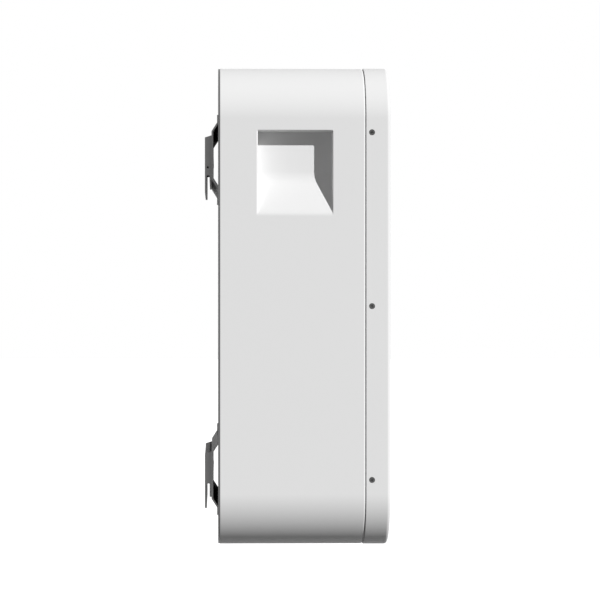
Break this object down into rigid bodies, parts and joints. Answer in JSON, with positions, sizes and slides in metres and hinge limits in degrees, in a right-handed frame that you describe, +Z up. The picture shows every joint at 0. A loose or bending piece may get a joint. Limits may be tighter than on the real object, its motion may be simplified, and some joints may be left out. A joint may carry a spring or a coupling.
{
  "type": "wall battery unit",
  "caption": "Tall rounded battery cabinet with a screwed front cover, hand pockets in its sides, a connection bay below and two folded hook rails behind for a wall plate.",
  "frame": {"origin": "middle of the underside, at the centre of the overall depth with the hooks", "axes": "+Z up, -Y towards the front cover, +Y towards the wall, +X to the right of someone facing the unit"},
  "size_m": [0.45, 0.2486, 0.65],
  "materials": {
    "cabinet_white": "fine satin powder coat",
    "cup_white": "satin moulded plastic",
    "panel_grey": "dark grey powder coat",
    "hanger_grey": "dark grey powder coat",
    "screw_dark": "blackened steel",
    "zinc_steel": "zinc plated",
    "gasket_rubber": "matt foam rubber",
    "black_plastic": "fine texture",
    "orange_plastic": "fine texture",
    "grey_plastic": "fine texture",
    "contact_brass": "turned",
    "link_copper": "rolled bar",
    "bar_aluminium": "rolled",
    "cell_can": "drawn can under film",
    "spacer_film": "fibre sheet",
    "shield_clear": "clear polycarbonate",
    "board_green": "solder mask",
    "component_black": "moulded epoxy",
    "fuse_ceramic": "ceramic",
    "lens_white": "diffusing"
  },
  "bodies": {
    "cabinet": {"back_panel": "panel_grey", "back_panel_screws": "screw_dark", "bay_tray": "panel_grey", "bay_tray_screws": "screw_dark", "bms_board": "board_green", "bms_board_screws": "zinc_steel", "bms_board_standoffs": "zinc_steel", "bms_capacitors": "component_black", "bms_heatsink": "bar_aluminium", "bms_transistors": "component_black", "breaker_body": "grey_plastic", "breaker_pin": "zinc_steel", "busbar_shields": "shield_clear", "carrier_screws": "zinc_steel", "carrier_standoffs": "zinc_steel", "cell_busbars": "link_copper", "cell_spacers": "spacer_film", "cell_terminals": "bar_aluminium", "cells_left": "cell_can", "cells_right": "cell_can", "comm_board": "board_green", "comm_ports": "black_plastic", "cover_clinch_nuts": "zinc_steel", "cover_gasket": "gasket_rubber", "cover_screws": "screw_dark", "earth_nut": "zinc_steel", "earth_stud": "contact_brass", "end_plates": "bar_aluminium", "front_cover": "cabinet_white", "fuse_base": "black_plastic", "handle_cup_left": "cup_white", "handle_cup_right": "cup_white", "handle_cup_seals": "gasket_rubber", "hook_rivets": "zinc_steel", "link_bar_nuts": "zinc_steel", "lower_hanger_rail": "hanger_grey", "lower_hook_bracket": "hanger_grey", "main_fuse": "fuse_ceramic", "main_shell": "cabinet_white", "module_bolts": "zinc_steel", "module_carrier": "zinc_steel", "module_straps": "zinc_steel", "negative_link_bar": "link_copper", "negative_sockets": "black_plastic", "positive_link_bar": "link_copper", "positive_sockets": "orange_plastic", "rail_clinch_nuts": "zinc_steel", "rail_screws": "screw_dark", "socket_contacts": "contact_brass", "status_board": "board_green", "status_board_screws": "zinc_steel", "status_window": "lens_white", "strap_screws": "zinc_steel", "switch_housing": "black_plastic", "switch_nut": "zinc_steel", "upper_hanger_rail": "hanger_grey", "upper_hook_bracket": "hanger_grey", "vent_plug": "black_plastic"},
    "button": {"power_button": "grey_plastic"},
    "lever": {"breaker_lever": "black_plastic"}
  },
  "joints": [
    {"name": "power_button_press", "type": "slide", "parent": "cabinet", "child": "button", "axis": [0, 0, 1], "range_m": [0, 0.0025], "stiffness_N_per_m": 600, "springref_m": -0.002},
    {"name": "breaker_lever_turn", "type": "hinge", "parent": "cabinet", "child": "lever", "pos_m": [0.104, 0.01365, 0.0495], "axis": [1, 0, 0], "range_deg": [0, 50]}
  ]
}
